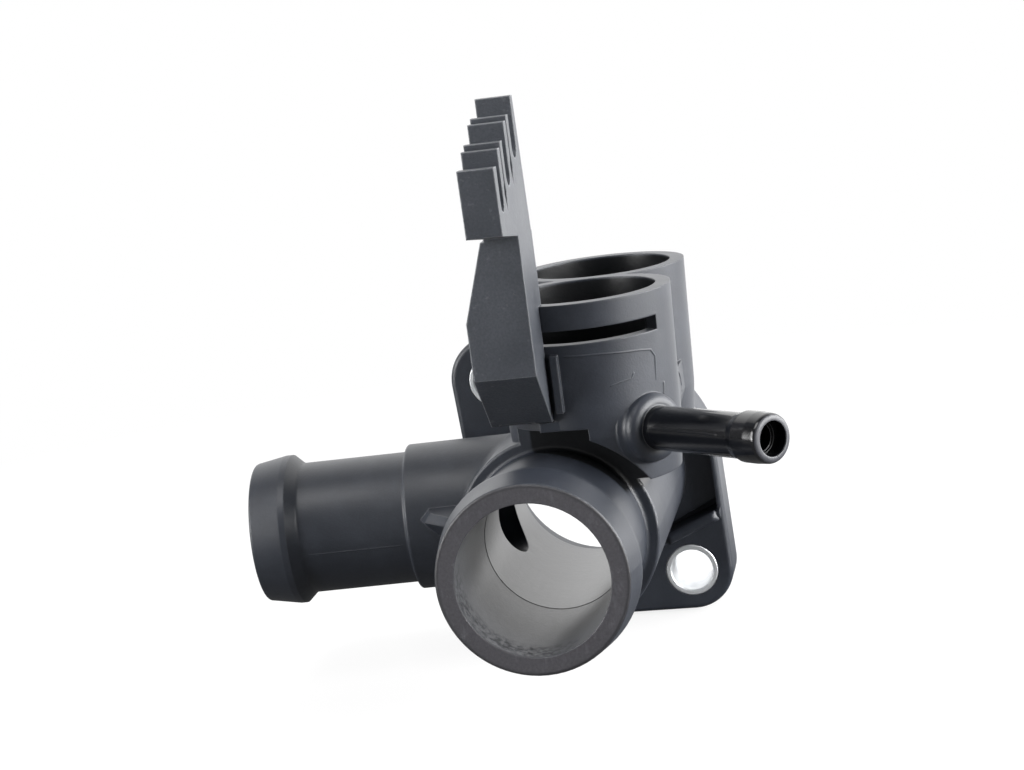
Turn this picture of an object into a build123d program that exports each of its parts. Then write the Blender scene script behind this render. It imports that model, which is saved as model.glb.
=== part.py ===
from build123d import *
import math
import os

os.makedirs("parts", exist_ok=True)

# Sizes in millimetres, angles in degrees
# The mounting face is the plane Y = 0 and the coolant port is centred on the origin
# The front outlet points along -Y, the side outlet along -X, the sensor sockets along +Z

# Front outlet
FRONT_LENGTH = 81.5
FRONT_NECK_R = 15.6
FRONT_TIP_R = 16.3
FRONT_BEAD_R = 17.3
FRONT_BEAD_Y = -74.4
FRONT_MOUTH_R = 13.1
BEAD_BACK = 1.9
BEAD_LAND = 1.2
EDGE_ROUND = 0.5
COLLAR_FILLET = 0.8
BRANCH_FILLET = 2.0
GUSSET_TOP = 4.3
GUSSET_T = 6.0
HOSE_ROOM_R = 20.0

# Body behind the collar
COLLAR_Y = -54.2
COLLAR_R = 17.95
BODY_ROOT_R = 17.7
PARTING_Y = -55.0
PARTING_R = 12.95
PARTING_STEP = 0.08
CHAMBER_R = 14.6

# Flange and its port
FLANGE_T = 9.5
FLANGE_CORE_R = 24.4
FLANGE_DROP = 4.1
LOBE_LOW_R = 8.0
LOBE_HIGH_R = 8.8
BOLT_X = 17.1
BOLT_Z = 20.6
PORT_R = 17.2
PORT_DEPTH = 10.5
GROOVE_R = 18.3
GROOVE_W = 2.3
GROOVE_DEPTH = 1.9
POCKET_DEPTH = 3.2
RECESS_DEPTH = 5.4
RIB_PROUD = 1.2

# Bolt sleeves
SLEEVE_R = 5.1
SLEEVE_BORE_R = 4.05
SLEEVE_PROUD = 0.1

# Side outlet
SIDE_ROOT_X = -13.0
SIDE_ROOT_Y = -29.05
SIDE_YAW = 5.2
SIDE_REACH = 47.4
SIDE_NECK_R = 12.3
SIDE_TIP_R = 13.0
SIDE_BEAD_R = 14.05
SIDE_BEAD_REACH = 41.0
SIDE_COLLAR_R = 13.65
SIDE_COLLAR_REACH = 18.2
SIDE_BORE_R = 8.8

# Sensor sockets
SOCKET_R = 16.0
SOCKET_WAIST_R = 15.3
SOCKET_FOOT_R = 14.4
SOCKET_BORE_R = 13.4
SOCKET_TOP = 41.8
SOCKET_WAIST = 18.2
SOCKET_FOOT = 9.2
SOCKET_FLOOR = 22.0
FRONT_SOCKET = (7.75, -45.3)
REAR_SOCKET = (7.2, -16.1)
WEB_TOP = 23.5
WEB_RIGHT = 21.4
OVERHANG = 20.0
OVERHANG_RIGHT = 8.8
LUG_LEFT = -0.6
LUG_RIGHT = 7.4
WELL_R = 7.0
WELL_FLOOR = 8.0
WINDOW_Z = 34.85
WINDOW_H = 2.5
WINDOW_HALF = 61.0

# Vent nipple
NIPPLE_Z = 18.1
NIPPLE_ANGLE = -42.5
NIPPLE_TILT = 1.1
NIPPLE_REACH = 45.3
NIPPLE_R = 3.83
NIPPLE_BARB_R = 4.3
NIPPLE_TIP_R = 4.1
NIPPLE_MOUTH_R = 2.95
NIPPLE_MOUTH_DEPTH = 3.0
NIPPLE_BORE_R = 2.3
NIPPLE_BOSS_R = 6.0
NIPPLE_BOSS_REACH = 17.3
BOSS_FLARE = 0.8

# Harness bracket
COMB_RIGHT = 3.0
COMB_LEFT = -3.0
COMB_FRONT_Y = -83.5
TINE_TOPS = (67.9, 70.4, 71.3, 74.1, 74.9, 77.7)
COMB_SLOPE = 24.0
COMB_BACK_Y = -60.2
COMB_UNDER_Z = 56.9
STEM_FRONT_Y = -70.1
STEM_BACK_Y = -57.9
STEM_TOP_Z = 55.3
FOOT_LEFT = -7.7
FOOT_WIDE_Z = 41.5
FOOT_CHIN_Z = 31.7
FOOT_BOTTOM_Z = 22.0
FOOT_BOTTOM_Y = -60.8
CABLE_SLOTS = ((-79.9, 3.0), (-72.3, 3.5), (-64.0, 4.2))
CABLE_DEPTH = 9.1
SLIT_YS = (-76.15, -68.3)
SLIT_W = 1.1
SLIT_DEPTH = 11.4

# Guide rail on the housing and the slot that slides over it
RAIL_X = -3.2
RAIL_NECK = 3.2
RAIL_HEAD = 5.8
RAIL_NECK_T = 1.0
RAIL_HEAD_T = 1.0
RAIL_LOW = 22.0
RAIL_TOP = 33.0
RAIL_CLEAR = 0.15
PAD_FRONT_Y = -59.2
PAD_TOP = 34.0


def rounded(face, rounds):
    """Round chosen corners of a flat face, given as pairs of corner point and radius."""
    for point, radius in rounds:
        target = Vector(*point)
        corner = min(face.vertices(), key=lambda v: (Vector(v.X, v.Y, v.Z) - target).length)
        face = fillet(corner, radius)
    return face


def turned(points, axis, rounds=()):
    """Revolve a closed outline, drawn in the XY plane, round an axis."""
    face = make_face(Polyline(*points, close=True))
    return revolve(rounded(face, [((x, y, 0), r) for (x, y), r in rounds]), axis)


def upright(radius, x, y, low, high):
    """Vertical cylinder between two heights."""
    return Pos(x, y, low) * Cylinder(radius, high - low, align=(Align.CENTER, Align.CENTER, Align.MIN))


def block(x0, x1, y0, y1, z0, z1):
    """Box from its six limits."""
    return Pos(x0, y0, z0) * Box(x1 - x0, y1 - y0, z1 - z0, align=(Align.MIN, Align.MIN, Align.MIN))


def side_prism(points, x0, x1):
    """Prism along X from an outline of (y, z) points."""
    face = make_face(Polyline(*[(x0, y, z) for y, z in points], close=True))
    return extrude(face, x1 - x0, dir=(1, 0, 0))


def front_prism(points, y0, y1):
    """Prism along Y from an outline of (x, z) points."""
    face = make_face(Polyline(*[(x, y0, z) for x, z in points], close=True))
    return extrude(face, y1 - y0, dir=(0, 1, 0))


def flange_outline():
    """Two bolt lobes and two wide shoulders round the port, drawn in the XZ plane."""
    core = Circle(FLANGE_CORE_R)
    low = Pos(0, -FLANGE_DROP) * Circle(FLANGE_CORE_R)
    right = Pos(BOLT_X, -BOLT_Z) * Circle(LOBE_LOW_R)
    left = Pos(-BOLT_X, BOLT_Z) * Circle(LOBE_HIGH_R)
    return make_hull(core.edges() + low.edges() + right.edges() + left.edges())


def flange_plate():
    """Flange with its outer edge rounded towards the front."""
    plate = extrude(Plane.XZ * flange_outline(), FLANGE_T)
    front = plate.faces().sort_by(Axis.Y)[0]
    return fillet(front.outer_wire().edges(), 1.0)


def flange_pocket():
    """Recess between the body and the flange's right rim, with a deeper end at the lower rib."""
    wide = [(10, 12.5), (22.4, 9.0), (23.0, 4.0), (23.3, -7.1), (14, -11.5), (10, -11.5)]
    deep = [(23.3, -7.1), (23.3, -9.2), (12, -14.0), (12, -12.4)]
    shallow = front_prism(wide, -FLANGE_T - 1, -FLANGE_T + POCKET_DEPTH)
    return shallow + front_prism(deep, -FLANGE_T - 1, -FLANGE_T + RECESS_DEPTH)


def flange_rib():
    """Rib from the body to the right rim, just above the lower bolt lobe."""
    outline = [(12, -13.2), (12, -15.3), (23.9, -10.5), (23.9, -8.5)]
    rib = front_prism(outline, -FLANGE_T - RIB_PROUD, -1)
    long_edges = rib.faces().sort_by(Axis.Y)[0].edges().sort_by(SortBy.LENGTH)[-2:]
    return fillet(long_edges, 0.9)


def main_body():
    """Front outlet, collar and tapered body as one turned shape."""
    bead_back = FRONT_BEAD_Y + BEAD_LAND / 2 + BEAD_BACK
    outline = [
        (0, 0),
        (BODY_ROOT_R, 0),
        (BODY_ROOT_R, -FLANGE_T),
        (COLLAR_R, COLLAR_Y),
        (FRONT_NECK_R, COLLAR_Y),
        (FRONT_NECK_R, bead_back),
        (FRONT_BEAD_R, FRONT_BEAD_Y + BEAD_LAND / 2),
        (FRONT_BEAD_R, FRONT_BEAD_Y - BEAD_LAND / 2),
        (FRONT_TIP_R, -FRONT_LENGTH),
        (0, -FRONT_LENGTH),
    ]
    rounds = [
        ((COLLAR_R, COLLAR_Y), EDGE_ROUND),
        ((FRONT_NECK_R, COLLAR_Y), COLLAR_FILLET),
        ((FRONT_NECK_R, bead_back), COLLAR_FILLET),
        ((FRONT_TIP_R, -FRONT_LENGTH), EDGE_ROUND),
    ]
    return turned(outline, Axis.Y, rounds)


def along_side(outline, rounds=()):
    """Turn an outline of (reach, radius) points round the side outlet's axis."""
    points = [(-s, r) for s, r in outline]
    shape = turned(points, Axis.X, [((-s, r), size) for (s, r), size in rounds])
    return Pos(SIDE_ROOT_X, SIDE_ROOT_Y, 0) * Rot(0, 0, SIDE_YAW) * shape


def side_tube():
    """Side outlet with its collar, from inside the body to the hose end."""
    bead_back = SIDE_BEAD_REACH - BEAD_LAND / 2 - BEAD_BACK
    outline = [
        (-3, 0),
        (-3, SIDE_COLLAR_R),
        (SIDE_COLLAR_REACH, SIDE_COLLAR_R),
        (SIDE_COLLAR_REACH, SIDE_NECK_R),
        (bead_back, SIDE_NECK_R),
        (SIDE_BEAD_REACH - BEAD_LAND / 2, SIDE_BEAD_R),
        (SIDE_BEAD_REACH + BEAD_LAND / 2, SIDE_BEAD_R),
        (SIDE_REACH, SIDE_TIP_R),
        (SIDE_REACH, 0),
    ]
    rounds = [
        ((SIDE_COLLAR_REACH, SIDE_COLLAR_R), EDGE_ROUND),
        ((SIDE_COLLAR_REACH, SIDE_NECK_R), EDGE_ROUND),
        ((bead_back, SIDE_NECK_R), COLLAR_FILLET),
        ((SIDE_REACH, SIDE_TIP_R), EDGE_ROUND),
    ]
    return along_side(outline, rounds)


def tubes():
    """Body, front outlet and side outlet with a fillet where they join."""
    joined = main_body() + side_tube()
    start = (SIDE_ROOT_X, SIDE_ROOT_Y + SIDE_COLLAR_R, 0)
    return fillet(joined.edges().sort_by_distance(start)[0], BRANCH_FILLET)


def cone(place, low_r, high_r, low, high):
    """Vertical cone or drafted cylinder between two heights."""
    x, y = place
    body = Cone(low_r, high_r, high - low, align=(Align.CENTER, Align.CENTER, Align.MIN))
    return Pos(x, y, low) * body


def socket_wall(place, clear=0):
    """Drafted outside of a sensor socket above its waist."""
    return cone(place, SOCKET_WAIST_R + clear, SOCKET_R + clear, SOCKET_WAIST, SOCKET_TOP)


def hose_room():
    """Space round the front outlet that its hose needs to reach the collar."""
    return along_y(HOSE_ROOM_R, 0, 0, -80, COLLAR_Y) + block(-30, OVERHANG_RIGHT, -80, COLLAR_Y, 0, OVERHANG)


def collar_lug():
    """Rib from the front collar up to the socket's overhang, flush with the collar."""
    return block(LUG_LEFT, LUG_RIGHT, COLLAR_Y, FRONT_SOCKET[1], SOCKET_WAIST - 6, OVERHANG + 1)


def socket_base():
    """Both sockets' drafted feet and the web between them."""
    front = cone(FRONT_SOCKET, SOCKET_FOOT_R, SOCKET_WAIST_R, SOCKET_FOOT, SOCKET_WAIST)
    rear = cone(REAR_SOCKET, SOCKET_FOOT_R, SOCKET_WAIST_R, SOCKET_FOOT, SOCKET_WAIST)
    outline = [
        (2, SOCKET_FOOT),
        (WEB_RIGHT - 3, SOCKET_FOOT),
        (WEB_RIGHT, SOCKET_WAIST),
        (WEB_RIGHT, WEB_TOP),
        (2, WEB_TOP),
    ]
    return front + rear + front_prism(outline, FRONT_SOCKET[1], REAR_SOCKET[1])


def sockets():
    """Outside of both sensor sockets."""
    walls = socket_wall(FRONT_SOCKET) + socket_wall(REAR_SOCKET) + socket_base()
    return walls - hose_room() + collar_lug()


def socket_hollow(place):
    """Sensor bore and the well that opens into the coolant chamber."""
    bore = upright(SOCKET_BORE_R, *place, SOCKET_FLOOR, SOCKET_TOP + 1)
    return bore + upright(WELL_R, *place, WELL_FLOOR, SOCKET_FLOOR + 1)


def sector(radius, start, end, height):
    """Flat wedge of a disc between two angles, with straight outer edges beyond the radius."""
    steps = 6
    points = [(0, 0)]
    for i in range(steps + 1):
        a = math.radians(start + (end - start) * i / steps)
        points.append((radius * math.cos(a), radius * math.sin(a)))
    return extrude(make_face(Polyline(*points, close=True)), height)


def clip_window(place, facing):
    """Clip window through one side of a socket wall, centred on the facing angle."""
    wedge = sector(SOCKET_R + 4, facing - WINDOW_HALF, facing + WINDOW_HALF, WINDOW_H)
    return Pos(*place, WINDOW_Z) * wedge


def nipple_axis():
    """Frame along the nipple, starting on the front socket's axis."""
    a = math.radians(NIPPLE_ANGLE)
    t = math.radians(NIPPLE_TILT)
    z_dir = (math.cos(a) * math.cos(t), math.sin(a) * math.cos(t), math.sin(t))
    x_dir = (-math.cos(a) * math.sin(t), -math.sin(a) * math.sin(t), math.cos(t))
    return Plane(origin=(*FRONT_SOCKET, NIPPLE_Z), x_dir=x_dir, z_dir=z_dir).location


def along_nipple(outline):
    """Turn an outline of (radius, reach) points round the nipple's axis."""
    face = make_face(Polyline(*[(r, 0, s) for r, s in outline], close=True))
    return nipple_axis() * revolve(face, Axis.Z)


def nipple_boss():
    """Flared boss that carries the vent nipple, clear of the front outlet's hose."""
    end = NIPPLE_BOSS_REACH
    wide = NIPPLE_BOSS_R + BOSS_FLARE
    boss = turned([
        (0, WELL_R),
        (wide, WELL_R),
        (wide, end - 1.6 - 2 * BOSS_FLARE),
        (NIPPLE_BOSS_R, end - 1.6 - BOSS_FLARE),
        (NIPPLE_BOSS_R, end),
        (0, end),
    ], Axis.Y, [((NIPPLE_BOSS_R, end), 1.7), ((NIPPLE_BOSS_R, end - 1.6 - BOSS_FLARE), 1.2)])
    return nipple_axis() * Rot(90, 0, 0) * boss - hose_room()


def nipple_barrel():
    """Barbed barrel of the vent nipple."""
    barrel = turned([
        (0, WELL_R),
        (NIPPLE_R, WELL_R),
        (NIPPLE_R, NIPPLE_REACH - 7.3),
        (NIPPLE_BARB_R, NIPPLE_REACH - 5.7),
        (NIPPLE_BARB_R, NIPPLE_REACH - 2.8),
        (NIPPLE_TIP_R, NIPPLE_REACH),
        (0, NIPPLE_REACH),
    ], Axis.Y, [((NIPPLE_TIP_R, NIPPLE_REACH), 0.9)])
    return nipple_axis() * Rot(90, 0, 0) * barrel


def nipple_bore():
    """Stepped bore from the nipple's tip into the front well."""
    step = NIPPLE_REACH - NIPPLE_MOUTH_DEPTH
    return along_nipple([
        (0, WELL_R - 2),
        (NIPPLE_BORE_R, WELL_R - 2),
        (NIPPLE_BORE_R, step),
        (NIPPLE_MOUTH_R, step),
        (NIPPLE_MOUTH_R, NIPPLE_REACH + 1),
        (0, NIPPLE_REACH + 1),
    ])


def main_bore():
    """Through bore with draft from both ends and the wider port in the flange."""
    return turned([
        (0, 1),
        (PORT_R, 1),
        (PORT_R, -PORT_DEPTH),
        (CHAMBER_R, -PORT_DEPTH),
        (PARTING_R + PARTING_STEP, PARTING_Y),
        (PARTING_R, PARTING_Y),
        (FRONT_MOUTH_R, -FRONT_LENGTH),
        (FRONT_MOUTH_R, -FRONT_LENGTH - 1),
        (0, -FRONT_LENGTH - 1),
    ], Axis.Y)


def side_bore():
    """Bore of the side outlet, from its mouth into the chamber."""
    return along_side([(-5, 0), (-5, SIDE_BORE_R), (SIDE_REACH + 1, SIDE_BORE_R), (SIDE_REACH + 1, 0)])


def seal_groove():
    """Ring groove for the seal in the mounting face."""
    return turned([
        (GROOVE_R, 1),
        (GROOVE_R + GROOVE_W, 1),
        (GROOVE_R + GROOVE_W, -GROOVE_DEPTH),
        (GROOVE_R, -GROOVE_DEPTH),
    ], Axis.Y)


def along_y(radius, x, z, y0, y1):
    """Cylinder along Y between two positions."""
    lying = Cylinder(radius, y1 - y0, align=(Align.CENTER, Align.CENTER, Align.MIN))
    return Pos(x, y0, z) * Rot(-90, 0, 0) * lying


def rail(clear):
    """T-shaped guide rail, widened by the clearance when it serves as a cutter."""
    half_neck = RAIL_NECK / 2 + clear
    half_head = RAIL_HEAD / 2 + clear
    back = PAD_FRONT_Y
    neck_front = back - RAIL_NECK_T + clear
    head_front = back - RAIL_NECK_T - RAIL_HEAD_T - clear
    top = RAIL_TOP + clear
    neck = block(RAIL_X - half_neck, RAIL_X + half_neck, head_front, back + 1, RAIL_LOW - clear, top)
    head = block(RAIL_X - half_head, RAIL_X + half_head, head_front, neck_front, RAIL_LOW - clear, top)
    return neck + head


def bracket_pad():
    """Pad on the front socket that carries the guide rail, its flat foot and the guide lip."""
    back = FRONT_SOCKET[1]
    pad = block(-6.6, 3.9, PAD_FRONT_Y, back, RAIL_LOW - 0.3, PAD_TOP)
    foot = block(0.4, FRONT_SOCKET[0] - 1, PAD_FRONT_Y - 1, back, OVERHANG, RAIL_LOW - 0.3)
    lip = block(3.9, 5.2, -62.0, back, 23.4, PAD_TOP - 0.6)
    return pad + foot + lip


def gusset():
    """Small web between the side outlet's collar and the front collar, which fades out below."""
    top = [(-25.4, -41), (-25.0, -44.6), (-24.2, -46.9), (-17.0, -54.1), (-10, -41)]
    nose = [(-27.2, -41), (-26.8, -44.2), (-25.6, -46.6), (-17.0, -54.0), (-10, -41)]
    under = [(-25.4, -40), (-24.8, -41.6), (-23.4, -42.6), (-16.8, -49.6), (-10, -40)]
    levels = (GUSSET_TOP, GUSSET_TOP - 0.3 * GUSSET_T, GUSSET_TOP - GUSSET_T)
    faces = []
    for outline, z in zip((top, nose, under), levels):
        faces.append(make_face(Polyline(*[(x, y, z) for x, y in outline], close=True)))
    return loft(faces[:2], ruled=True) + loft(faces[1:], ruled=True)


def housing():
    """The moulded housing in one piece."""
    solid = flange_plate() - flange_pocket() + tubes() + flange_rib()
    solid = solid + sockets() + nipple_boss() + nipple_barrel()
    solid = solid + bracket_pad() + rail(0) + gusset()
    cut = main_bore() + side_bore() + nipple_bore()
    cut = cut + socket_hollow(FRONT_SOCKET) + socket_hollow(REAR_SOCKET)
    solid = solid - cut - clip_window(FRONT_SOCKET, -90) - clip_window(REAR_SOCKET, 90)
    solid = solid - seal_groove()
    for side in (1, -1):
        solid = solid - along_y(SLEEVE_R, side * BOLT_X, -side * BOLT_Z, -FLANGE_T - 1, 1)
    return solid


def comb_top(y):
    """Height of the line through the tines' front top edges at a given depth."""
    return TINE_TOPS[0] + (y - COMB_FRONT_Y) * math.tan(math.radians(COMB_SLOPE))


def cable_slot(y, width):
    """U-shaped cable slot across the comb."""
    bottom = comb_top(y) - CABLE_DEPTH
    half = width / 2
    slot = block(COMB_LEFT - 1, COMB_RIGHT + 1, y - half, y + half, bottom + half, comb_top(y) + 4)
    round_end = Pos(0, y, bottom + half) * Rot(0, 90, 0) * Cylinder(half, COMB_RIGHT - COMB_LEFT + 2)
    return slot + round_end


def relief_slit(y):
    """Narrow slit with a wider lozenge near its end, which lets the tines spring."""
    top = comb_top(y) + 2
    end = comb_top(y) - SLIT_DEPTH
    half = SLIT_W / 2
    outline = [
        (y - half, top),
        (y - half, end + 5.0),
        (y - half - 0.5, end + 3.2),
        (y, end),
        (y + half + 0.5, end + 3.2),
        (y + half, end + 5.0),
        (y + half, top),
    ]
    return side_prism(outline, COMB_LEFT - 1, COMB_RIGHT + 1)


def comb_blank():
    """Comb and stem before slotting, as one thin plate."""
    steps = sorted([y for y, _ in CABLE_SLOTS] + list(SLIT_YS))
    outline = []
    for top, start, end in zip(TINE_TOPS, [COMB_FRONT_Y] + steps, steps + [COMB_BACK_Y]):
        outline += [(start, top), (end, top)]
    outline += [
        (STEM_BACK_Y, 50.0),
        (STEM_BACK_Y, 36.0),
        (STEM_FRONT_Y, 36.0),
        (STEM_FRONT_Y, STEM_TOP_Z),
        (COMB_FRONT_Y + 0.5, COMB_UNDER_Z),
    ]
    return side_prism(outline, COMB_LEFT, COMB_RIGHT)


def foot_blank():
    """Foot that widens to the left and tucks back under its chin."""
    outline = [
        (STEM_FRONT_Y, STEM_TOP_Z - 0.5),
        (STEM_BACK_Y, STEM_TOP_Z - 0.5),
        (STEM_BACK_Y, SOCKET_TOP + 0.8),
        (PAD_FRONT_Y - 0.1, SOCKET_TOP + 0.8),
        (PAD_FRONT_Y - 0.1, FOOT_BOTTOM_Z),
        (FOOT_BOTTOM_Y - 0.4, FOOT_BOTTOM_Z),
        (STEM_FRONT_Y, FOOT_CHIN_Z),
    ]
    wide = side_prism(outline, FOOT_LEFT, COMB_RIGHT)
    taper = front_prism([
        (COMB_LEFT - 0.1, STEM_TOP_Z + 1),
        (FOOT_LEFT, FOOT_WIDE_Z),
        (FOOT_LEFT - 5, FOOT_WIDE_Z),
        (FOOT_LEFT - 5, STEM_TOP_Z + 1),
    ], STEM_FRONT_Y - 1, STEM_BACK_Y + 1)
    return wide - taper


def harness_comb_bracket():
    """Slide-on bracket with three cable slots."""
    solid = comb_blank() + foot_blank()
    for y, width in CABLE_SLOTS:
        solid = solid - cable_slot(y, width)
    for y in SLIT_YS:
        solid = solid - relief_slit(y)
    return solid - rail(RAIL_CLEAR) - socket_wall(FRONT_SOCKET, RAIL_CLEAR)


def bolt_sleeve(side):
    """Metal sleeve that takes the bolt's clamping load."""
    x = side * BOLT_X
    z = -side * BOLT_Z
    front = -FLANGE_T - SLEEVE_PROUD
    tube = along_y(SLEEVE_R, x, z, front, 0) - along_y(SLEEVE_BORE_R, x, z, front - 1, 1)
    return chamfer(tube.edges().filter_by(GeomType.CIRCLE), 0.2)


def flange_o_ring():
    """Seal drawn as fitted, pressed flush with the mounting face."""
    inner = GROOVE_R + 0.1
    outer = GROOVE_R + GROOVE_W - 0.1
    section = make_face(Polyline((inner, -GROOVE_DEPTH), (outer, -GROOVE_DEPTH), (outer, 0), (inner, 0), close=True))
    return revolve(fillet(section.vertices(), 0.7), Axis.Y)


PARTS = {
    "housing": housing,
    "harness_comb_bracket": harness_comb_bracket,
    "bolt_sleeve_upper": lambda: bolt_sleeve(-1),
    "bolt_sleeve_lower": lambda: bolt_sleeve(1),
    "flange_o_ring": flange_o_ring,
}

for name, build in PARTS.items():
    export_step(build(), f"parts/{name}.step")
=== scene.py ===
"""A moulded coolant water outlet, dressed for its picture.

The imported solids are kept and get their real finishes. Low surfaces are laid on them: the thin
traces of the mould, such as parting lines and witness marks, and the crown of the flange's rib.
The floor, the sky, the lamps and the camera are there for the picture only.
"""

import math

import bpy
import numpy as np
from mathutils import Matrix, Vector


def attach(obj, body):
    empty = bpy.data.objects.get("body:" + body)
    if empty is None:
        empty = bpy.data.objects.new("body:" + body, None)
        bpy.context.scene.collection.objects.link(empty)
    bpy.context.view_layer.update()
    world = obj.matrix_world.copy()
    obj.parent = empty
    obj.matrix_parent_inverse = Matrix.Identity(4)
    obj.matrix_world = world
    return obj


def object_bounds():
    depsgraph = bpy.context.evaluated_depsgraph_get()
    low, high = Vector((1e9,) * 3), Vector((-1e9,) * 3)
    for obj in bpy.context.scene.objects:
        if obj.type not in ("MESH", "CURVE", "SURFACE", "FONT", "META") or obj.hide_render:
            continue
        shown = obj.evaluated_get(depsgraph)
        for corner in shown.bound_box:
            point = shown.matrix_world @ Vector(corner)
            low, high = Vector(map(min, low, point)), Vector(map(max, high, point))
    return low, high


MM = 0.001

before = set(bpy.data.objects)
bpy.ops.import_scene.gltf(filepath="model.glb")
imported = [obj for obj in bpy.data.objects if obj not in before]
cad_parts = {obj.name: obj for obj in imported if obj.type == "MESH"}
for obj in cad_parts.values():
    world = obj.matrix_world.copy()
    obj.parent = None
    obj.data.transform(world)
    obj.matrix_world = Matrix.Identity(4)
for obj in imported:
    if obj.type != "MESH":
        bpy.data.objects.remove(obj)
cad_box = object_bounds()


# Places on the outlet, in millimetres. The front outlet lies on the y axis and opens towards
# minus y; the engine's face is the plane y = 0.
UP = np.array([0.0, 0.0, 1.0])
FRONT_END = -81.5
FRONT_TIP_R = 16.3
FRONT_MOUTH_R = 13.1
CHAMBER_R = 14.8
SIDE_ROOT = np.array([-13.0, -29.05, 0.0])
SIDE_YAW = math.radians(5.2)
SIDE_OUT = np.array([-math.cos(SIDE_YAW), -math.sin(SIDE_YAW), 0.0])
SIDE_FRONT = np.array([math.sin(SIDE_YAW), -math.cos(SIDE_YAW), 0.0])
SIDE_NECK_R = 12.3
SIDE_COLLAR_REACH = 18.2
SIDE_LINE_REACH = 37.5
FRONT_SOCKET = np.array([7.75, -45.3])
REAR_SOCKET = np.array([7.2, -16.1])
SOCKET_BORE_R = 13.4
SOCKET_WAIST_R = 15.3
SOCKET_TOP_R = 16.0
SOCKET_WAIST = 18.2
SOCKET_TOP = 41.8
WELL_FLOOR = 7.0
WEB_RIGHT = 21.4
NIPPLE_ROOT = np.array([7.75, -45.3, 18.1])
NIPPLE_ANGLE = math.radians(-42.5)
NIPPLE_TILT = math.radians(1.1)
NIPPLE_OUT = np.array([
    math.cos(NIPPLE_ANGLE) * math.cos(NIPPLE_TILT),
    math.sin(NIPPLE_ANGLE) * math.cos(NIPPLE_TILT),
    math.sin(NIPPLE_TILT),
])
NIPPLE_R = 3.83
NIPPLE_BARB_R = 4.3
NIPPLE_BOSS_REACH = 17.3
NIPPLE_LINE_REACH = 36.2
NIPPLE_REACH = 45.3

# Noise keeps near its middle, so a finish's roughness uses this span of it
ROUGH_SPAN = (0.3, 0.7)
# Cosines of 8 and 37 degrees: how far the softened normal leans where the lighter edge tint
# starts and is full; the tint is partly wear and partly painted highlight
NO_EDGE_TINT, FULL_EDGE_TINT = 0.99, 0.80
PLASTIC_IOR = 1.52
WHITE = (1.0, 1.0, 1.0, 1.0)


def linear(code):
    """Linear red, green, blue and alpha of an sRGB hex colour."""
    values = [int(code[i:i + 2], 16) / 255 for i in (1, 3, 5)]
    low = [v / 12.92 for v in values]
    high = [((v + 0.055) / 1.055) ** 2.4 for v in values]
    return tuple(a if v <= 0.04045 else b for v, a, b in zip(values, low, high)) + (1.0,)


def add(tree, kind, settings=None, links=None):
    """Add one node; settings are its own properties, links feed its inputs by name or number."""
    node = tree.nodes.new(kind)
    for key, value in (settings or {}).items():
        setattr(node, key, value)
    for key, value in (links or {}).items():
        if isinstance(value, bpy.types.NodeSocket):
            tree.links.new(value, node.inputs[key])
        else:
            node.inputs[key].default_value = value
    return node


def new_material(name):
    """Empty node material with its output, and the object coordinates every pattern reads."""
    material = bpy.data.materials.new(name)
    material.use_nodes = True
    tree = material.node_tree
    tree.nodes.clear()
    output = add(tree, "ShaderNodeOutputMaterial")
    place = add(tree, "ShaderNodeTexCoord").outputs["Object"]
    return material, tree, output, place


def cloud(tree, place, size, detail=3.0, rough=0.55, stretch=(1.0, 1.0, 1.0)):
    """Noise whose patches measure about size millimetres; a stretch below 1 draws them out."""
    mapped = add(tree, "ShaderNodeMapping", {}, {"Vector": place, "Scale": stretch}).outputs[0]
    links = {"Vector": mapped, "Scale": 1.0 / (size * MM), "Detail": detail, "Roughness": rough}
    return add(tree, "ShaderNodeTexNoise", {}, links).outputs["Fac"]


def zone(tree, *limits):
    """Product of shares from 0 to 1.

    A limit is either a share as it stands, or a value with the numbers at which its share is 0
    and 1; between the two the share changes straight, and beyond them it holds.
    """
    whole = None
    for limit in limits:
        if isinstance(limit, tuple):
            value, none, full = limit
            links = {"Value": value, "From Min": none, "From Max": full}
            limit = add(tree, "ShaderNodeMapRange", {}, links).outputs["Result"]
        if whole is None:
            whole = limit
        else:
            times = {"operation": "MULTIPLY"}
            whole = add(tree, "ShaderNodeMath", times, {0: whole, 1: limit}).outputs[0]
    return whole


def ground(tree, pattern, span, codes, roughs):
    """Ground colour and roughness of a finish; a pattern takes each from its first to its second.

    The colour changes while the pattern rises over the span, the roughness over ROUGH_SPAN.
    """
    share = zone(tree, (pattern, *span))
    links = {0: share, 6: linear(codes[0]), 7: linear(codes[1])}
    colour = add(tree, "ShaderNodeMix", {"data_type": "RGBA"}, links).outputs[2]
    rough = add(tree, "ShaderNodeMapRange", {}, {
        "Value": pattern, "From Min": ROUGH_SPAN[0], "From Max": ROUGH_SPAN[1],
        "To Min": roughs[0], "To Max": roughs[1],
    }).outputs["Result"]
    return colour, rough


def layer(tree, colour, code, pattern, low, high, most=1.0):
    """Colour with another over it where a pattern rises from low to high, at most by most."""
    links = {"Value": pattern, "From Min": low, "From Max": high, "To Max": most}
    share = add(tree, "ShaderNodeMapRange", {}, links).outputs["Result"]
    links = {0: share, 6: colour, 7: linear(code)}
    return add(tree, "ShaderNodeMix", {"data_type": "RGBA"}, links).outputs[2]


def tint(tree, colour, other, share, most):
    """Colour with a given part of another over it where a share is 1."""
    part = add(tree, "ShaderNodeMath", {"operation": "MULTIPLY"}, {0: share, 1: most}).outputs[0]
    links = {0: part, 6: colour, 7: other}
    return add(tree, "ShaderNodeMix", {"data_type": "RGBA"}, links).outputs[2]


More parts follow.
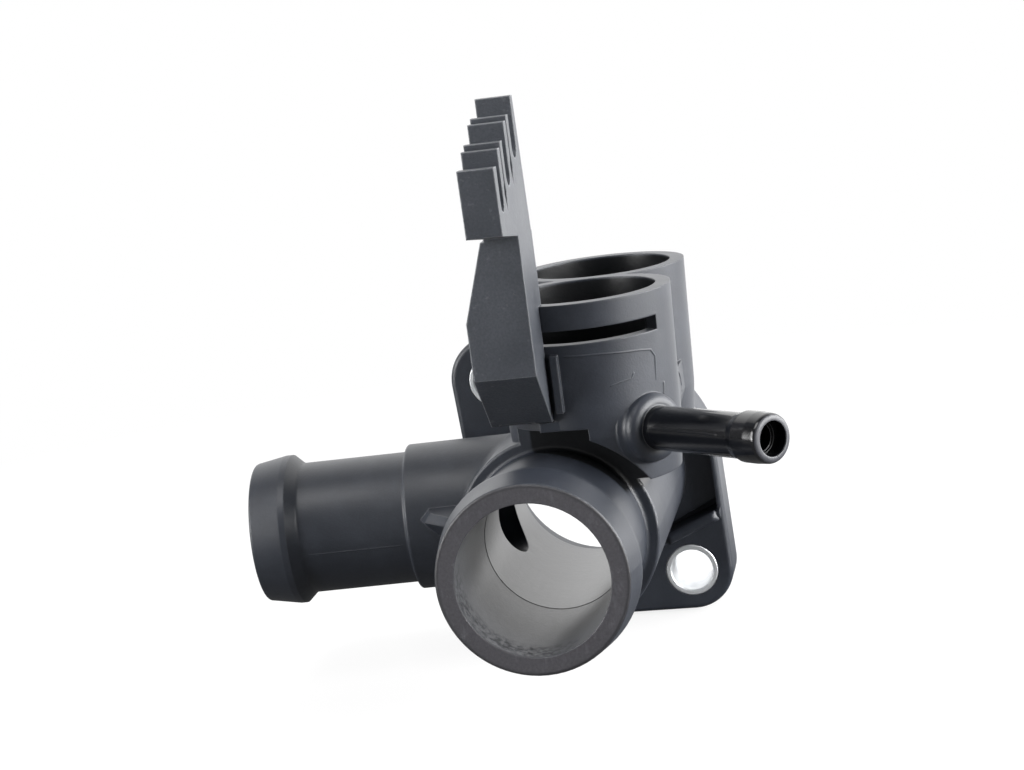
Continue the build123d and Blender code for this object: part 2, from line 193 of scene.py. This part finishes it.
def patch(tree, finish, share, code, rough):
    """Finish, as colour and roughness, with another of both in its place where a share is 1."""
    links = {0: share, 6: finish[0], 7: linear(code)}
    colour = add(tree, "ShaderNodeMix", {"data_type": "RGBA"}, links).outputs[2]
    return colour, add(tree, "ShaderNodeMix", {}, {0: share, 2: finish[1], 3: rough}).outputs[0]


def soft_edges_wear_and_highlight(tree, radius):
    """Normal softened over a radius in millimetres, and the share of the lighter edge tint at sharp
    edges, which is partly wear and partly painted highlight.

    The share grows as the softened normal leans away from the flat face's own normal.
    """
    soft = add(tree, "ShaderNodeBevel", {"samples": 6}, {"Radius": radius * MM}).outputs[0]
    flat = add(tree, "ShaderNodeNewGeometry").outputs["True Normal"]
    links = {0: soft, 1: flat}
    lean = add(tree, "ShaderNodeVectorMath", {"operation": "DOT_PRODUCT"}, links).outputs["Value"]
    return soft, zone(tree, (lean, NO_EDGE_TINT, FULL_EDGE_TINT))


def radius_about(tree, place, centre, direction):
    """Distance from a line, and distance along it from its centre, both in metres.

    The first is the length of offset x direction, the second is offset . direction.
    """
    start = tuple(float(v) * MM for v in centre)
    way = tuple(float(v) for v in direction)
    links = {0: place, 1: start}
    offset = add(tree, "ShaderNodeVectorMath", {"operation": "SUBTRACT"}, links).outputs[0]
    links = {0: offset, 1: way}
    across = add(tree, "ShaderNodeVectorMath", {"operation": "CROSS_PRODUCT"}, links).outputs[0]
    along = add(tree, "ShaderNodeVectorMath", {"operation": "DOT_PRODUCT"}, links).outputs["Value"]
    away = add(tree, "ShaderNodeVectorMath", {"operation": "LENGTH"}, {0: across}).outputs["Value"]
    return away, along


def shade(tree, output, colour, rough, relief, settings):
    """Join a colour, a roughness and a relief in the material's shader."""
    bump = add(tree, "ShaderNodeBump", {}, relief).outputs[0]
    links = {"Base Color": colour, "Roughness": rough, "Normal": bump} | settings
    shader = add(tree, "ShaderNodeBsdfPrincipled", {}, links)
    tree.links.new(shader.outputs[0], output.inputs[0])


def polished_nipple(tree, place, finish):
    """The nipple's barrel, polished in the tool, and its duller tip; also the barrel's share."""
    away, along = radius_about(tree, place, NIPPLE_ROOT, NIPPLE_OUT)
    barrel = zone(
        tree,
        (away, (NIPPLE_BARB_R + 0.6) * MM, (NIPPLE_BARB_R + 0.3) * MM),
        (along, (NIPPLE_BOSS_REACH - 0.05) * MM, (NIPPLE_BOSS_REACH + 0.1) * MM),
    )
    finish = patch(tree, finish, barrel, "#0b0c0f", 0.14)
    tip = zone(tree, (along, (NIPPLE_REACH - 0.4) * MM, (NIPPLE_REACH - 0.1) * MM))
    return patch(tree, finish, tip, "#3c3d42", 0.45), barrel


def smooth_shaded_wells(tree, place, finish):
    """The sensor bores, made by polished core pins, are smooth, and their insides are painted near
    black as painted shade.
    """
    for centre in (FRONT_SOCKET, REAR_SOCKET):
        near, up = radius_about(tree, place, (*centre, 0.0), UP)
        well_shade = zone(
            tree,
            (near, (SOCKET_BORE_R + 0.4) * MM, (SOCKET_BORE_R + 0.1) * MM),
            (up, (SOCKET_TOP - 0.1) * MM, (SOCKET_TOP - 0.5) * MM),
            (up, WELL_FLOOR * MM, (WELL_FLOOR + 1.0) * MM),
        )
        # Near black inside the wells is painted shade; the roughness of 0.28 is the smooth bore
        finish = patch(tree, finish, well_shade, "#0b0c0e", 0.28)
    return finish


def trimmed_face(tree, place, colour, middle, y):
    """The trimmed end face: brownish, finely speckled, with a dark rim and a few bright nicks."""
    speckle = cloud(tree, place, 0.5, detail=3.0, rough=0.7)
    scratch = cloud(tree, place, 0.7, detail=2.0, rough=0.6, stretch=(1.0, 1.0, 0.3))
    scuff = cloud(tree, place, 2.2, detail=5.0, rough=0.75)
    worn = layer(tree, linear("#353438"), "#403f43", speckle, 0.35, 0.65)
    worn = layer(tree, worn, "#4c4c50", scratch, 0.55, 0.72, most=0.5)
    worn = layer(tree, worn, "#69696c", scuff, 0.60, 0.74, most=0.4)
    rim = zone(tree, (middle, (FRONT_TIP_R - 0.75) * MM, (FRONT_TIP_R - 0.45) * MM))
    worn = tint(tree, worn, linear("#1f1f22"), rim, 0.6)
    face = zone(tree, (y, (FRONT_END + 0.3) * MM, (FRONT_END + 0.1) * MM))
    links = {0: face, 6: colour, 7: worn}
    return add(tree, "ShaderNodeMix", {"data_type": "RGBA"}, links).outputs[2]


def rubbed_mouth(tree, place, finish, bore, x, y, z):
    """Rub marks inside the mouth, low and to the left, where 0.8 x + z is small."""
    aside = add(tree, "ShaderNodeMath", {"operation": "MULTIPLY"}, {0: x, 1: 0.8}).outputs[0]
    corner = add(tree, "ShaderNodeMath", {"operation": "ADD"}, {0: aside, 1: z}).outputs[0]
    chatter = cloud(tree, place, 1.1, detail=4.0, rough=0.7)
    rubbed = zone(
        tree,
        (y, (FRONT_END + 6.5) * MM, (FRONT_END + 4.0) * MM),
        bore,
        (corner, -6.0 * MM, -14.0 * MM),
        (chatter, 0.42, 0.62),
    )
    colour = tint(tree, finish[0], linear("#242427"), rubbed, 0.7)
    return colour, add(tree, "ShaderNodeMix", {}, {0: rubbed, 2: finish[1], 3: 0.62}).outputs[0]


def housing_nylon():
    """Black glass-filled nylon, injection moulded in a spark-eroded tool.

    The eroded tool leaves a satin grain, so the black reads as charcoal. The vent nipple was
    polished in the tool and stays deep black; the sensor bores are smooth, and their insides are
    painted near black as painted shade. The front outlet's bore is smooth and painted greyer than
    the skin as a painted reflection, and its end was trimmed and is scuffed.
    """
    material, tree, output, place = new_material("black glass-filled nylon, spark-eroded grain")
    x, y, z = add(tree, "ShaderNodeSeparateXYZ", {}, {0: place}).outputs
    patches = cloud(tree, place, 14.0)
    flow = cloud(tree, place, 5.0, detail=4.0, rough=0.6, stretch=(1.0, 0.25, 1.0))
    # Real erosion grain is about 0.1 mm; 0.35 mm is the finest that this picture can hold
    grain = cloud(tree, place, 0.35, detail=2.0, rough=0.6)
    peel = cloud(tree, place, 1.6, detail=2.0, rough=0.5)
    soft, edge_wear_and_highlight = soft_edges_wear_and_highlight(tree, 0.35)

    colour, rough = ground(tree, patches, (0.3, 0.7), ("#1f232b", "#262a32"), (0.41, 0.50))
    colour = layer(tree, colour, "#373b44", flow, 0.45, 0.75, most=0.35)
    colour = layer(tree, colour, "#191c23", grain, 0.35, 0.65, most=0.3)
    (colour, rough), barrel = polished_nipple(tree, place, (colour, rough))

    # The front outlet's bore is painted greyer, a painted reflection of the light through it, and
    # both it and the wider chamber behind it are smooth
    middle, _ = radius_about(tree, place, (0, 0, 0), (0, 1, 0))
    inside = (y, (FRONT_END + 0.2) * MM, (FRONT_END + 0.6) * MM)
    near = (middle, (FRONT_MOUTH_R + 0.6) * MM, (FRONT_MOUTH_R + 0.2) * MM)
    bore = zone(tree, near, inside)
    skin = layer(tree, linear("#4f5053"), "#646568", flow, 0.35, 0.65)
    # The bore's greyer colour is a painted reflection, not the nylon's own tone
    colour = tint(tree, colour, skin, bore, 0.55)
    chamber = zone(tree, (middle, (CHAMBER_R + 0.2) * MM, CHAMBER_R * MM), inside)
    rough = add(tree, "ShaderNodeMix", {}, {0: chamber, 2: rough, 3: 0.3}).outputs[0]

    colour, rough = smooth_shaded_wells(tree, place, (colour, rough))
    colour = trimmed_face(tree, place, colour, middle, y)
    colour, rough = rubbed_mouth(tree, place, (colour, rough), bore, x, y, z)
    # Lighter edges: partly wear, partly painted highlight
    colour = tint(tree, colour, linear("#6c6d70"), edge_wear_and_highlight, 0.3)

    # Grain and peel both raise the skin; where the barrel is polished, 0.85 of that is gone
    times = {"operation": "MULTIPLY"}
    fine = add(tree, "ShaderNodeMath", times, {0: grain, 1: 0.7}).outputs[0]
    broad = add(tree, "ShaderNodeMath", times, {0: peel, 1: 0.5}).outputs[0]
    height = add(tree, "ShaderNodeMath", {"operation": "ADD"}, {0: fine, 1: broad}).outputs[0]
    gone = add(tree, "ShaderNodeMath", times, {0: barrel, 1: 0.85}).outputs[0]
    left = add(tree, "ShaderNodeMath", {"operation": "SUBTRACT"}, {0: 1.0, 1: gone}).outputs[0]
    strength = add(tree, "ShaderNodeMath", times, {0: left, 1: 0.55}).outputs[0]
    relief = {"Strength": strength, "Distance": 0.06 * MM, "Height": height, "Normal": soft}
    shade(tree, output, colour, rough, relief, {"IOR": PLASTIC_IOR})
    return material


def bracket_nylon():
    """Black nylon of the slide-on bracket, moulded with a stronger grain than the housing.

    It reads paler and drier than the housing, with small light specks and grey edges that are
    partly rubbed and partly painted highlight.
    """
    material, tree, output, place = new_material("black nylon, fine matt grain")
    patches = cloud(tree, place, 11.0)
    # Real grain is about 0.1 mm here too, and is drawn as coarse as it needs to show
    grain = cloud(tree, place, 0.4, detail=2.0, rough=0.6)
    specks = cloud(tree, place, 1.1, detail=2.0, rough=0.5)
    soft, edge_wear_and_highlight = soft_edges_wear_and_highlight(tree, 0.4)
    colour, rough = ground(tree, patches, (0.3, 0.7), ("#33363c", "#3b3e44"), (0.40, 0.48))
    colour = layer(tree, colour, "#202327", grain, 0.35, 0.65, most=0.4)
    colour = layer(tree, colour, "#55575b", specks, 0.66, 0.74, most=0.4)
    # Lighter edges: partly wear, partly painted highlight
    colour = tint(tree, colour, linear("#85878b"), edge_wear_and_highlight, 0.85)
    relief = {"Strength": 0.8, "Distance": 0.08 * MM, "Height": grain, "Normal": soft}
    shade(tree, output, colour, rough, relief, {"IOR": PLASTIC_IOR})
    return material


def sleeve_steel():
    """Turned steel sleeve with bright zinc plate: fine turning rings and a pale, even glint."""
    material, tree, output, place = new_material("zinc-plated turned steel")
    rings = cloud(tree, place, 0.35, detail=2.0, rough=0.5, stretch=(0.06, 1.0, 0.06))
    stain = cloud(tree, place, 3.0, detail=4.0, rough=0.6)
    soft, edge_wear_and_highlight = soft_edges_wear_and_highlight(tree, 0.15)
    colour, rough = ground(tree, stain, (0.35, 0.7), ("#e6e8ea", "#d6d9dc"), (0.42, 0.52))
    # Lighter edges: partly wear, partly painted highlight
    colour = tint(tree, colour, linear("#eceeef"), edge_wear_and_highlight, 0.5)
    relief = {"Strength": 0.4, "Distance": 0.02 * MM, "Height": rings, "Normal": soft}
    shade(tree, output, colour, rough, relief, {"Metallic": 0.8})
    return material


def seal_rubber():
    """Moulded black rubber of the seal ring, with a soft, pale bloom and a fine skin."""
    material, tree, output, place = new_material("moulded black seal rubber")
    bloom = cloud(tree, place, 4.0, detail=4.0, rough=0.6)
    skin = cloud(tree, place, 0.5, detail=2.0, rough=0.5)
    colour, rough = ground(tree, bloom, (0.4, 0.75), ("#1c1c1e", "#2b2b2d"), (0.5, 0.66))
    relief = {"Strength": 0.3, "Distance": 0.04 * MM, "Height": skin}
    shade(tree, output, colour, rough, relief, {"IOR": PLASTIC_IOR})
    return material


def grid_mesh(name, points):
    """Mesh of a grid of points in millimetres, shaped (along, across, 3), as quads."""
    rows, columns = points.shape[:2]
    index = np.arange(rows * columns).reshape(rows, columns)
    corners = [index[:-1, :-1], index[:-1, 1:], index[1:, 1:], index[1:, :-1]]
    quads = np.stack(corners, axis=-1).reshape(-1, 4)
    mesh = bpy.data.meshes.new(name)
    mesh.from_pydata((points.reshape(-1, 3) * MM).tolist(), [], quads.tolist())
    mesh.validate()
    mesh.polygons.foreach_set("use_smooth", np.ones(len(mesh.polygons), dtype=bool))
    return mesh


def place_piece(name, mesh, material):
    """Put a mesh in the scene as a piece of the one rigid body."""
    piece = bpy.data.objects.new(name, mesh)
    bpy.context.scene.collection.objects.link(piece)
    piece.data.materials.append(material)
    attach(piece, "root")
    return piece


def ridge(name, path, normals, width, height, material):
    """Low half-round ridge along a path.

    A point is path + across * width / 2 * sin(a) + normal * height * cos(a) * fade, for a from
    minus to plus a quarter turn, where across is tangent x normal. Fade is the root of twelve
    times the share of the path to the nearer end, at most 1, so that the ridge runs out into the
    surface. The path is sunk into the surface a little, and the height is raised by as much.
    """
    sunk = 0.02
    tangent = np.gradient(path, axis=0)
    tangent /= np.linalg.norm(tangent, axis=1, keepdims=True)
    across = np.cross(tangent, normals)
    a = np.linspace(-math.pi / 2, math.pi / 2, 9)
    t = np.linspace(0, 1, len(path))
    fade = np.clip(np.minimum(t, 1 - t) * 12, 0, 1) ** 0.5
    points = (
        (path - normals * sunk)[:, None]
        + across[:, None] * (np.sin(a) * width / 2)[None, :, None]
        + normals[:, None] * (np.cos(a)[None, :] * (height + sunk) * fade[:, None])[:, :, None]
    )
    return place_piece(name, grid_mesh(name, points[:, ::-1]), material)


def through(corners, count):
    """Points spread evenly by number over the straight lines through corners, as two rows."""
    corners = np.array(corners, float)
    t = np.linspace(0, len(corners) - 1, count)
    return [np.interp(t, np.arange(len(corners)), column) for column in corners.T]


def socket_path(corners, steps=24):
    """Path on the front socket's drafted wall through (degrees, height) corners; its normals.

    A point is centre + radius * (cos angle, sin angle) at its height, and the radius grows
    straight from the waist's to the top's.
    """
    degrees, z = through(corners, steps * (len(corners) - 1) + 1)
    angle = np.radians(degrees)
    share = (z - SOCKET_WAIST) / (SOCKET_TOP - SOCKET_WAIST)
    radius = SOCKET_WAIST_R + share * (SOCKET_TOP_R - SOCKET_WAIST_R)
    out = np.stack([np.cos(angle), np.sin(angle), np.zeros_like(angle)], axis=1)
    path = radius[:, None] * out
    path[:, :2] += FRONT_SOCKET
    path[:, 2] = z
    return path, out


def straight_path(start, direction, low, high, radius, normal, steps=40):
    """Path start + s * direction + radius * normal for s from low to high, and its normals."""
    s = np.linspace(low, high, steps)
    path = start + s[:, None] * direction + radius * normal
    return path, np.repeat(normal[None], steps, axis=0)


def nipple_parting_lines(material):
    """Two opposite parting lines along the nipple, 12 degrees round it from the level plane."""
    level = np.cross(NIPPLE_OUT, UP)
    level /= np.linalg.norm(level)
    turn = math.radians(12)
    front = level * math.cos(turn) + np.cross(level, NIPPLE_OUT) * math.sin(turn)
    start = NIPPLE_BOSS_REACH + 0.3
    for name, normal in (("front", front), ("back", -front)):
        line = straight_path(NIPPLE_ROOT, NIPPLE_OUT, start, NIPPLE_LINE_REACH, NIPPLE_R, normal)
        ridge(f"nipple_parting_line_{name}", *line, width=0.45, height=0.07, material=material)


def side_outlet_parting_line(material):
    """Parting line along the front of the side outlet, 11 degrees below its middle."""
    turn = math.radians(-11)
    normal = SIDE_FRONT * math.cos(turn) + UP * math.sin(turn)
    start = SIDE_COLLAR_REACH + 0.8
    line = straight_path(SIDE_ROOT, SIDE_OUT, start, SIDE_LINE_REACH, SIDE_NECK_R, normal)
    ridge("side_outlet_parting_line", *line, width=0.4, height=0.05, material=material)


def socket_traces(material):
    """Outline and corner of the tool's insert and a witness tick, on the front socket's wall."""
    outline = [(-97, 32.9), (-73, 32.7), (-46, 32.1), (-37, 31.7), (-33.5, 30.4), (-34.5, 26.2)]
    corner = [(-69, 26.9), (-62, 27.3), (-54, 27.6), (-51.8, 28.6)]
    tick = [(-26.8, 25.6), (-28.6, 22.4)]
    line = socket_path(outline)
    ridge("socket_insert_line", *line, width=0.4, height=0.10, material=material)
    line = socket_path(corner)
    ridge("socket_insert_corner", *line, width=0.35, height=0.08, material=material)
    line = socket_path(tick)
    ridge("socket_witness_tick", *line, width=0.5, height=0.14, material=material)


def bore_core_ring(material):
    """Ring where the front bore's two cores met: centre - radius * inward, for a whole turn.

    Inward is -(cos a, 0, sin a). The ring begins and ends just left of the bore's top.
    """
    centre, radius = np.array([0.0, -55.1, 0.0]), 12.93
    a = np.linspace(math.radians(95), math.radians(455), 181)
    inward = np.stack([-np.cos(a), np.zeros_like(a), -np.sin(a)], axis=1)
    path = centre - radius * inward
    ridge("bore_core_ring", path, inward, width=0.35, height=0.05, material=material)


def flange_rib_crown(material):
    """Rounded crown along the rib in the flange's right side, on a straight path."""
    steps = 40
    path = np.linspace((13.0, -10.6, -14.0), (23.3, -10.6, -9.7), steps)
    normals = np.repeat([[0.0, -1.0, 0.0]], steps, axis=0)
    ridge("flange_rib_crown", path, normals, width=2.1, height=0.9, material=material)


def web_step_line(material):
    """Outline of the step in the web's right side, through (y, z) corners in its plane."""
    top = [(-34.0, 23.2), (-31.0, 23.1), (-28.6, 22.5)]
    drop = [(-27.4, 21.2), (-27.2, 19.6), (-27.5, 18.4)]
    y, z = through(top + drop, 60)
    path = np.stack([np.full_like(y, WEB_RIGHT), y, z], axis=1)
    normals = np.repeat([[1.0, 0.0, 0.0]], len(path), axis=0)
    ridge("web_step_line", path, normals, width=0.7, height=0.16, material=material)


def floor_material():
    """Pale matt floor that stays white to the camera and keeps a soft shadow.

    To all other rays it is a darker card, apart from a lit backdrop behind the outlet, which
    shows in its right-hand skins.
    """
    material, tree, output, place = new_material("pale matt floor")
    camera_ray = add(tree, "ShaderNodeLightPath").outputs["Is Camera Ray"]
    times = {"operation": "MULTIPLY"}

    # Matt paint, and the glow that whitens it away from the outlet
    links = {0: camera_ray, 6: linear("#666666"), 7: linear("#f2f2f2")}
    tone = add(tree, "ShaderNodeMix", {"data_type": "RGBA"}, links).outputs[2]
    paint = add(tree, "ShaderNodeBsdfDiffuse", {}, {"Color": tone})
    strength = add(tree, "ShaderNodeMix", {}, {0: camera_ray, 2: 1.7, 3: 1.0}).outputs[0]
    glow = add(tree, "ShaderNodeEmission", {}, {"Color": WHITE, "Strength": strength})
    away = add(tree, "ShaderNodeVectorMath", {"operation": "LENGTH"}, {0: place}).outputs["Value"]
    white = add(tree, "ShaderNodeMapRange", {}, {
        "Value": away, "From Min": 0.06, "From Max": 0.3, "To Min": 0.8, "To Max": 1.0,
    }).outputs["Result"]
    seen = add(tree, "ShaderNodeMath", times, {0: camera_ray, 1: white}).outputs[0]

    # The backdrop starts right behind the outlet, and only other rays meet it
    x, y, _ = add(tree, "ShaderNodeSeparateXYZ", {}, {0: place}).outputs
    links = {0: 1.0, 1: camera_ray}
    other_ray = add(tree, "ShaderNodeMath", {"operation": "SUBTRACT"}, links).outputs[0]
    backdrop = zone(tree, (y, 0.03, 0.14), (x, -0.2, 0.0))
    backdrop = add(tree, "ShaderNodeMath", times, {0: other_ray, 1: backdrop}).outputs[0]
    share = add(tree, "ShaderNodeMath", {"operation": "ADD"}, {0: seen, 1: backdrop}).outputs[0]
    links = {0: share, 1: paint.outputs[0], 2: glow.outputs[0]}
    blend = add(tree, "ShaderNodeMixShader", {}, links)
    tree.links.new(blend.outputs[0], output.inputs[0])
    return material


def floor():
    """Flat floor just below the flange's lowest edge."""
    half = 4.0
    gap = 0.0004
    level = min(v[2] for v in cad_box) - gap
    mesh = bpy.data.meshes.new("floor")
    around = [(-half, -half), (half, -half), (half, half), (-half, half)]
    mesh.from_pydata([(x, y, level) for x, y in around], [], [(0, 1, 2, 3)])
    mesh.materials.append(floor_material())
    plane = bpy.data.objects.new("floor", mesh)
    bpy.context.scene.collection.objects.link(plane)


def studio_sky():
    """White surround for the picture; less light comes from the camera's side and from below."""
    world = bpy.data.worlds.new("studio")
    world.use_nodes = True
    tree = world.node_tree
    tree.nodes.clear()
    output = add(tree, "ShaderNodeOutputWorld")
    way = add(tree, "ShaderNodeTexCoord").outputs["Generated"]
    _, y, z = add(tree, "ShaderNodeSeparateXYZ", {}, {0: way}).outputs
    behind = add(tree, "ShaderNodeMapRange", {}, {
        "Value": y, "From Min": 0.12, "From Max": 0.60, "To Min": 0.20, "To Max": 1.9,
    }).outputs["Result"]
    above = add(tree, "ShaderNodeMapRange", {}, {
        "Value": z, "From Min": -0.6, "From Max": 0.3, "To Min": 0.25, "To Max": 1.0,
    }).outputs["Result"]
    level = add(tree, "ShaderNodeMath", {"operation": "MULTIPLY"}, {0: behind, 1: above}).outputs[0]
    seen = add(tree, "ShaderNodeLightPath").outputs
    links = {0: seen["Is Camera Ray"], 1: seen["Is Transmission Ray"]}
    white = add(tree, "ShaderNodeMath", {"operation": "MAXIMUM"}, links).outputs[0]
    strength = add(tree, "ShaderNodeMix", {}, {0: white, 2: level, 3: 1.0}).outputs[0]
    sky = add(tree, "ShaderNodeBackground", {}, {"Color": WHITE, "Strength": strength})
    tree.links.new(sky.outputs[0], output.inputs[0])
    bpy.context.scene.world = world


def softbox(name, place, target, size, power):
    """Rectangular area lamp at a place, aimed at a target: metres and watts.

    It shines along its own minus z, so back, its z, points from the target to its place.
    """
    lamp = bpy.data.lights.new(name, "AREA")
    lamp.shape = "RECTANGLE"
    lamp.size, lamp.size_y = size
    lamp.energy = power
    holder = bpy.data.objects.new(name, lamp)
    place, target = np.array(place), np.array(target)
    back = (place - target) / np.linalg.norm(place - target)
    right = np.cross(UP, back)
    right /= np.linalg.norm(right)
    up = np.cross(back, right)
    turn = np.eye(4)
    turn[:3, 0], turn[:3, 1], turn[:3, 2], turn[:3, 3] = right, up, back, place
    holder.matrix_world = Matrix(turn.tolist())
    bpy.context.scene.collection.objects.link(holder)


def camera():
    """Camera at the photograph's place, looking slightly down and rolled a little."""
    lens = bpy.data.cameras.new("camera")
    lens.lens = 75.6
    lens.sensor_width = 36.0
    lens.clip_start, lens.clip_end = 0.01, 20.0
    holder = bpy.data.objects.new("camera", lens)
    # Columns: right, up and back of the picture, and the camera's place in metres
    holder.matrix_world = Matrix((
        (0.9758, 0.0929, 0.1977, 0.069276),
        (0.1763, 0.2000, -0.9638, -0.414285),
        (-0.1291, 0.9754, 0.1788, 0.094509),
        (0.0, 0.0, 0.0, 1.0),
    ))
    bpy.context.scene.collection.objects.link(holder)
    bpy.context.scene.camera = holder


nylon = housing_nylon()
steel = sleeve_steel()
FINISHES = {
    "housing": nylon,
    "harness_comb_bracket": bracket_nylon(),
    "bolt_sleeve_upper": steel,
    "bolt_sleeve_lower": steel,
    "flange_o_ring": seal_rubber(),
}
for node, finish in FINISHES.items():
    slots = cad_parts[node].data.materials
    for i in range(len(slots)):
        slots[i] = finish

nipple_parting_lines(nylon)
side_outlet_parting_line(nylon)
socket_traces(nylon)
bore_core_ring(nylon)
flange_rib_crown(nylon)
web_step_line(nylon)

floor()
studio_sky()
# Name, place, the point it is aimed at, width and height, and power
MIDDLE = (-0.005, -0.04, 0.02)
LAMPS = [
    ("overhead", (-0.25, -0.5, 1.0), MIDDLE, (0.5, 0.5), 4.5),
    ("left", (-0.95, -0.5, 0.35), MIDDLE, (0.6, 0.6), 11.0),
    ("low_left", (-0.75, -0.6, 0.1), (-0.04, -0.04, 0.0), (0.22, 0.22), 2.6),
    ("right", (0.9, -0.05, 0.15), MIDDLE, (1.2, 0.8), 42.0),
    ("front_right", (0.75, -0.55, 0.2), MIDDLE, (0.7, 0.7), 1.7),
]
for lamp in LAMPS:
    softbox(*lamp)
camera()
bpy.context.scene.view_settings.view_transform = "Standard"
